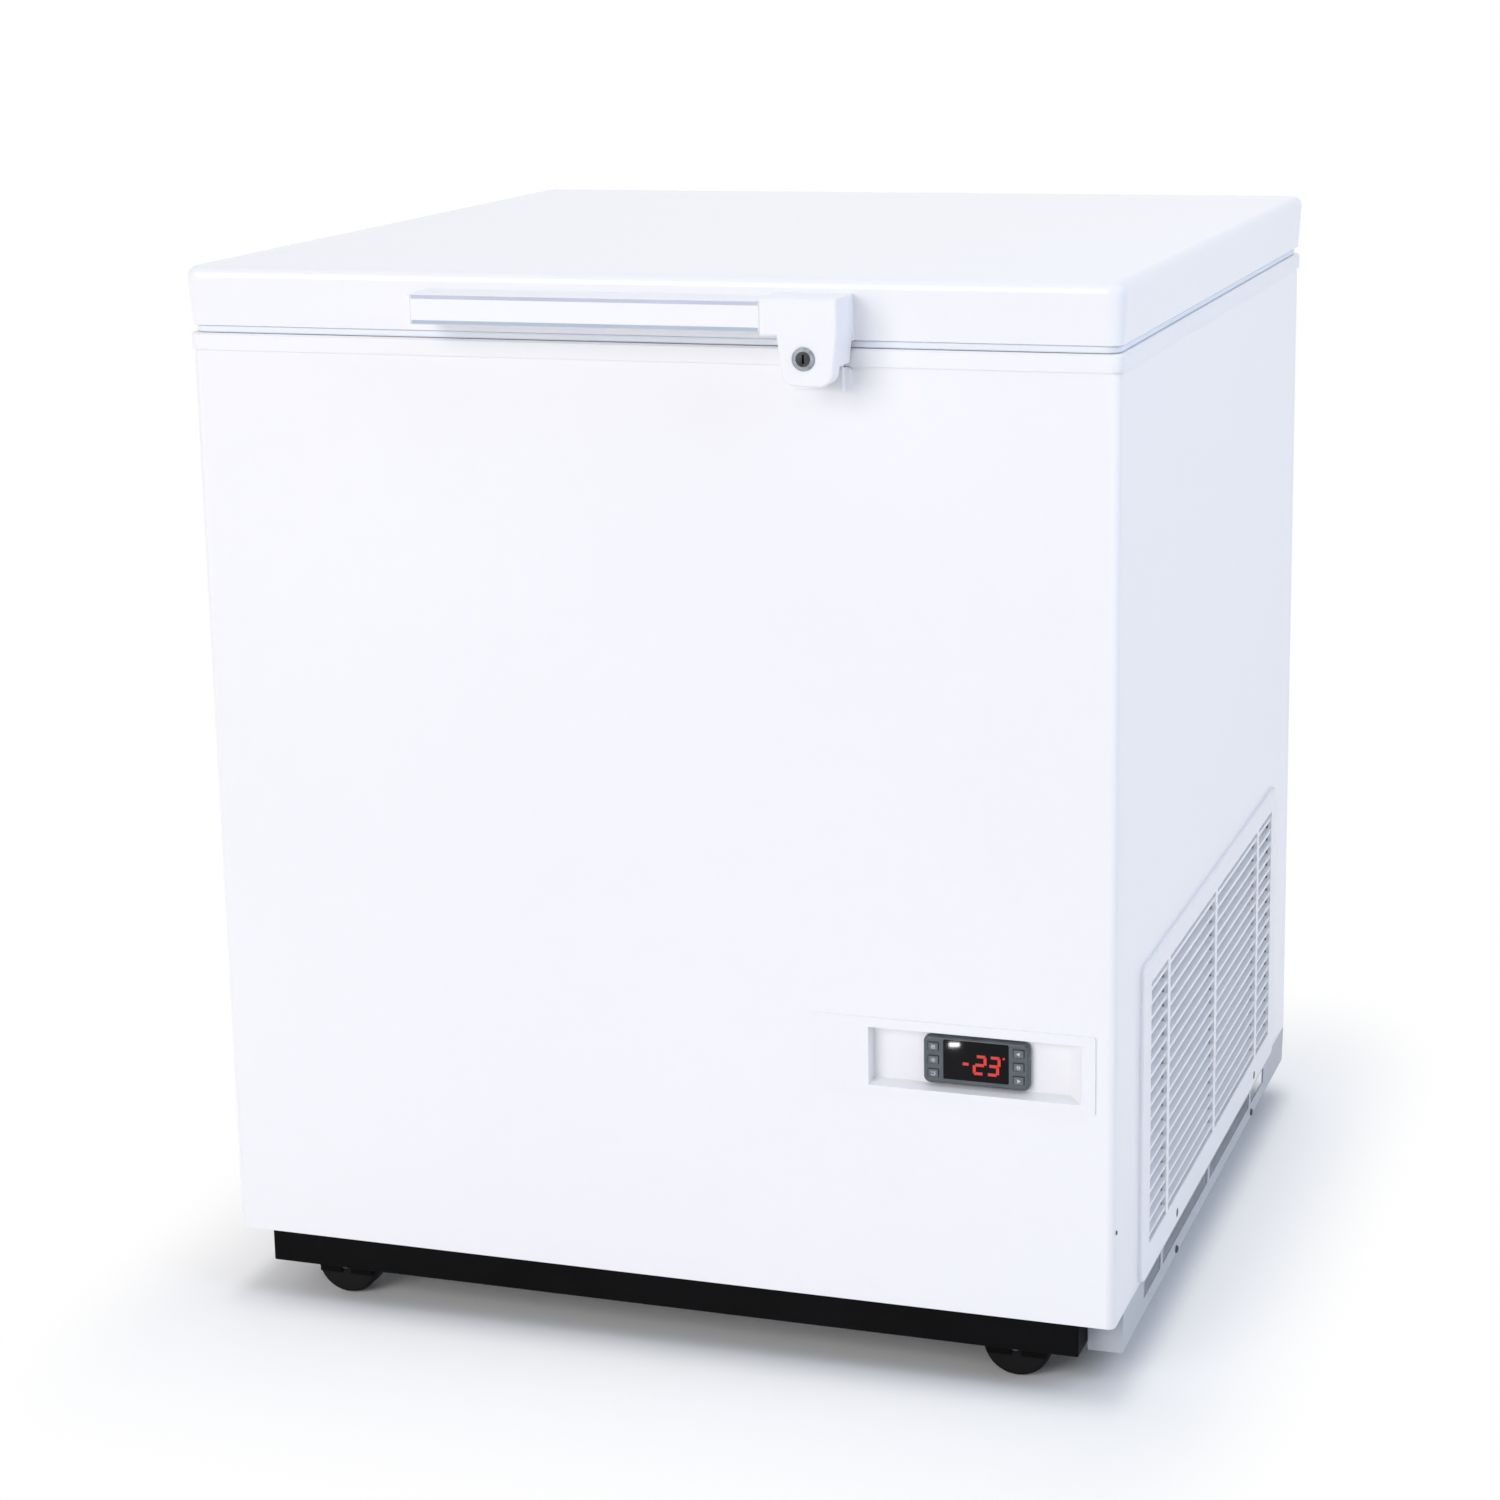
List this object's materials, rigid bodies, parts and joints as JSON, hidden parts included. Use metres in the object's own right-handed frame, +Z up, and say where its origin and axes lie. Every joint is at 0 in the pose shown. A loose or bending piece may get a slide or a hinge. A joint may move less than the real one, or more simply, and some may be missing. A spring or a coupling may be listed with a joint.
{
  "type": "chest ultra low temperature freezer",
  "caption": "Small chest freezer for laboratory use with a hinged, lockable lid, a stepped cold tank, a louvred machine compartment, a panel controller and roller feet.",
  "frame": {"origin": "on the floor, under the middle of the overall box", "axes": "+Z up, the front with the lock and controller faces -Y, the louvred machine side faces +X"},
  "size_m": [0.7368, 0.799, 0.845],
  "materials": {
    "white_enamel": "satin",
    "grey_enamel": "satin",
    "white_plastic": "satin",
    "galvanised_sheet": "matte",
    "stainless_liner": "satin",
    "polyurethane_foam": "matte",
    "seal_rubber": "matte",
    "black_rubber": "matte",
    "grey_plastic": "satin",
    "key_plastic": "satin",
    "black_plastic": "satin",
    "window_glass": "gloss",
    "black_enamel": "satin",
    "bright_steel": "satin",
    "lock_chrome": "gloss",
    "copper_tube": "satin",
    "fin_aluminium": "satin"
  },
  "bodies": {
    "cabinet": {"back_panel": "galvanised_sheet", "base_frame": "black_enamel", "bottom_pan": "galvanised_sheet", "cable_gland": "black_plastic", "compartment_partition": "galvanised_sheet", "compressor": "black_enamel", "compressor_grommets": "black_rubber", "condenser_coil": "copper_tube", "condenser_fins": "fin_aluminium", "control_panel": "white_plastic", "controller_bezel": "grey_plastic", "controller_housing": "black_plastic", "display_window": "window_glass", "evaporator_coil": "copper_tube", "fan_motor": "black_enamel", "fan_shroud": "black_plastic", "filter_drier": "copper_tube", "front_panel": "white_enamel", "grille_screws": "bright_steel", "hinge_base_left": "galvanised_sheet", "hinge_base_right": "galvanised_sheet", "hinge_pins": "bright_steel", "hinge_springs": "bright_steel", "insulation_foam": "polyurethane_foam", "left_side_panel": "white_enamel", "lock_keeper": "white_plastic", "machine_tray": "galvanised_sheet", "refrigerant_lines": "copper_tube", "right_side_panel": "white_enamel", "roller_axles": "bright_steel", "roller_brackets": "black_enamel", "side_grille": "white_plastic", "tank_liner": "stainless_liner", "temperature_probe": "bright_steel", "terminal_cover": "black_plastic", "top_frame": "white_plastic", "vent_skirt": "grey_enamel"},
    "lid": {"lid_shell": "white_enamel", "lid_inner_panel": "white_plastic", "lid_foam": "polyurethane_foam", "lid_gasket": "seal_rubber", "handle_bar": "white_plastic", "handle_end_cap": "white_plastic", "lock_housing": "white_plastic", "lock_barrel": "lock_chrome", "hinge_arm_left": "galvanised_sheet", "hinge_arm_right": "galvanised_sheet"},
    "lock": {"lock_plug": "lock_chrome", "lock_cam": "bright_steel"},
    "fan": {"fan_rotor": "black_plastic"},
    "key_set_cap": {"key_set": "key_plastic"},
    "key_light_cap": {"key_light": "key_plastic"},
    "key_power_cap": {"key_power": "key_plastic"},
    "key_up_cap": {"key_up": "key_plastic"},
    "key_defrost_cap": {"key_defrost": "key_plastic"},
    "key_down_cap": {"key_down": "key_plastic"},
    "roller_front_left_wheel": {"roller_front_left": "black_plastic"},
    "roller_front_right_wheel": {"roller_front_right": "black_plastic"},
    "roller_rear_left_wheel": {"roller_rear_left": "black_plastic"},
    "roller_rear_right_wheel": {"roller_rear_right": "black_plastic"}
  },
  "joints": [
    {"name": "lid_hinge", "type": "hinge", "parent": "cabinet", "child": "lid", "pos_m": [0, 0.3935, 0.808], "axis": [-1, 0, 0], "range_deg": [0, 85]},
    {"name": "lock_turn", "type": "hinge", "parent": "lid", "child": "lock", "pos_m": [0.145, -0.39, 0.791], "axis": [0, -1, 0], "range_deg": [0, 90]},
    {"name": "fan_spin", "type": "hinge", "parent": "cabinet", "child": "fan", "pos_m": [0.257, -0.1825, 0.1525], "axis": [0, 1, 0], "continuous": true},
    {"name": "key_set_press", "type": "slide", "parent": "cabinet", "child": "key_set_cap", "axis": [0, 1, 0], "range_m": [0, 0.0006], "stiffness_N_per_m": 1500},
    {"name": "key_light_press", "type": "slide", "parent": "cabinet", "child": "key_light_cap", "axis": [0, 1, 0], "range_m": [0, 0.0006], "stiffness_N_per_m": 1500},
    {"name": "key_power_press", "type": "slide", "parent": "cabinet", "child": "key_power_cap", "axis": [0, 1, 0], "range_m": [0, 0.0006], "stiffness_N_per_m": 1500},
    {"name": "key_up_press", "type": "slide", "parent": "cabinet", "child": "key_up_cap", "axis": [0, 1, 0], "range_m": [0, 0.0006], "stiffness_N_per_m": 1500},
    {"name": "key_defrost_press", "type": "slide", "parent": "cabinet", "child": "key_defrost_cap", "axis": [0, 1, 0], "range_m": [0, 0.0006], "stiffness_N_per_m": 1500},
    {"name": "key_down_press", "type": "slide", "parent": "cabinet", "child": "key_down_cap", "axis": [0, 1, 0], "range_m": [0, 0.0006], "stiffness_N_per_m": 1500},
    {"name": "roller_front_left_spin", "type": "hinge", "parent": "cabinet", "child": "roller_front_left_wheel", "pos_m": [-0.283, -0.3175, 0.027], "axis": [0, 1, 0], "continuous": true},
    {"name": "roller_front_right_spin", "type": "hinge", "parent": "cabinet", "child": "roller_front_right_wheel", "pos_m": [0.283, -0.3175, 0.027], "axis": [0, 1, 0], "continuous": true},
    {"name": "roller_rear_left_spin", "type": "hinge", "parent": "cabinet", "child": "roller_rear_left_wheel", "pos_m": [-0.283, 0.3415, 0.027], "axis": [0, 1, 0], "continuous": true},
    {"name": "roller_rear_right_spin", "type": "hinge", "parent": "cabinet", "child": "roller_rear_right_wheel", "pos_m": [0.283, 0.3415, 0.027], "axis": [0, 1, 0], "continuous": true}
  ]
}
